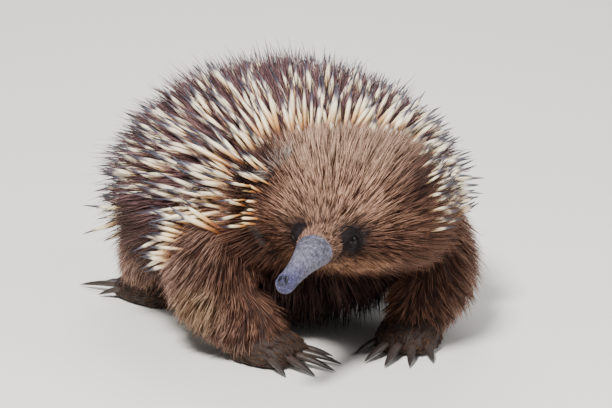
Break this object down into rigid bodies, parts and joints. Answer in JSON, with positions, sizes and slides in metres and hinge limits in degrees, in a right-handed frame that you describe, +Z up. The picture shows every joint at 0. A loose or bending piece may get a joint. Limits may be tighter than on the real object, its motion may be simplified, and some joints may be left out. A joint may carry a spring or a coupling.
{
  "type": "echidna figure",
  "caption": "Life-size short-beaked echidna standing still, its head turned to its right, with a coat of stout tapered spines and fur.",
  "frame": {"origin": "centre of the bounding box in plan, on the floor under the soles", "axes": "+Z up, -Y the way the body faces, +X the animal's left"},
  "size_m": [0.2356, 0.3642, 0.1616],
  "materials": {
    "spiny_coat": "coarse matt fur with hard spines",
    "face_fur": "short soft fur",
    "leg_fur": "coarse matt fur",
    "beak_skin": "dry, finely wrinkled bare skin",
    "eye": "wet gloss",
    "claw": "worn horn"
  },
  "bodies": {
    "root": {"beak": "beak_skin", "ear_left": "face_fur", "ear_right": "face_fur", "eye_left": "eye", "eye_right": "eye", "forefoot_left": "leg_fur", "forefoot_left_claw_1": "claw", "forefoot_left_claw_2": "claw", "forefoot_left_claw_3": "claw", "forefoot_left_claw_4": "claw", "forefoot_left_claw_5": "claw", "forefoot_right": "leg_fur", "forefoot_right_claw_1": "claw", "forefoot_right_claw_2": "claw", "forefoot_right_claw_3": "claw", "forefoot_right_claw_4": "claw", "forefoot_right_claw_5": "claw", "foreleg_left": "leg_fur", "foreleg_right": "leg_fur", "head": "face_fur", "hindfoot_left": "leg_fur", "hindfoot_left_claw_1": "claw", "hindfoot_left_claw_2": "claw", "hindfoot_left_claw_3": "claw", "hindfoot_left_claw_4": "claw", "hindfoot_left_claw_5": "claw", "hindfoot_right": "leg_fur", "hindfoot_right_claw_1": "claw", "hindfoot_right_claw_2": "claw", "hindfoot_right_claw_3": "claw", "hindfoot_right_claw_4": "claw", "hindfoot_right_claw_5": "claw", "hindleg_left": "leg_fur", "hindleg_right": "leg_fur", "neck": "face_fur", "tail": "spiny_coat", "torso": "spiny_coat"}
  },
  "joints": []
}
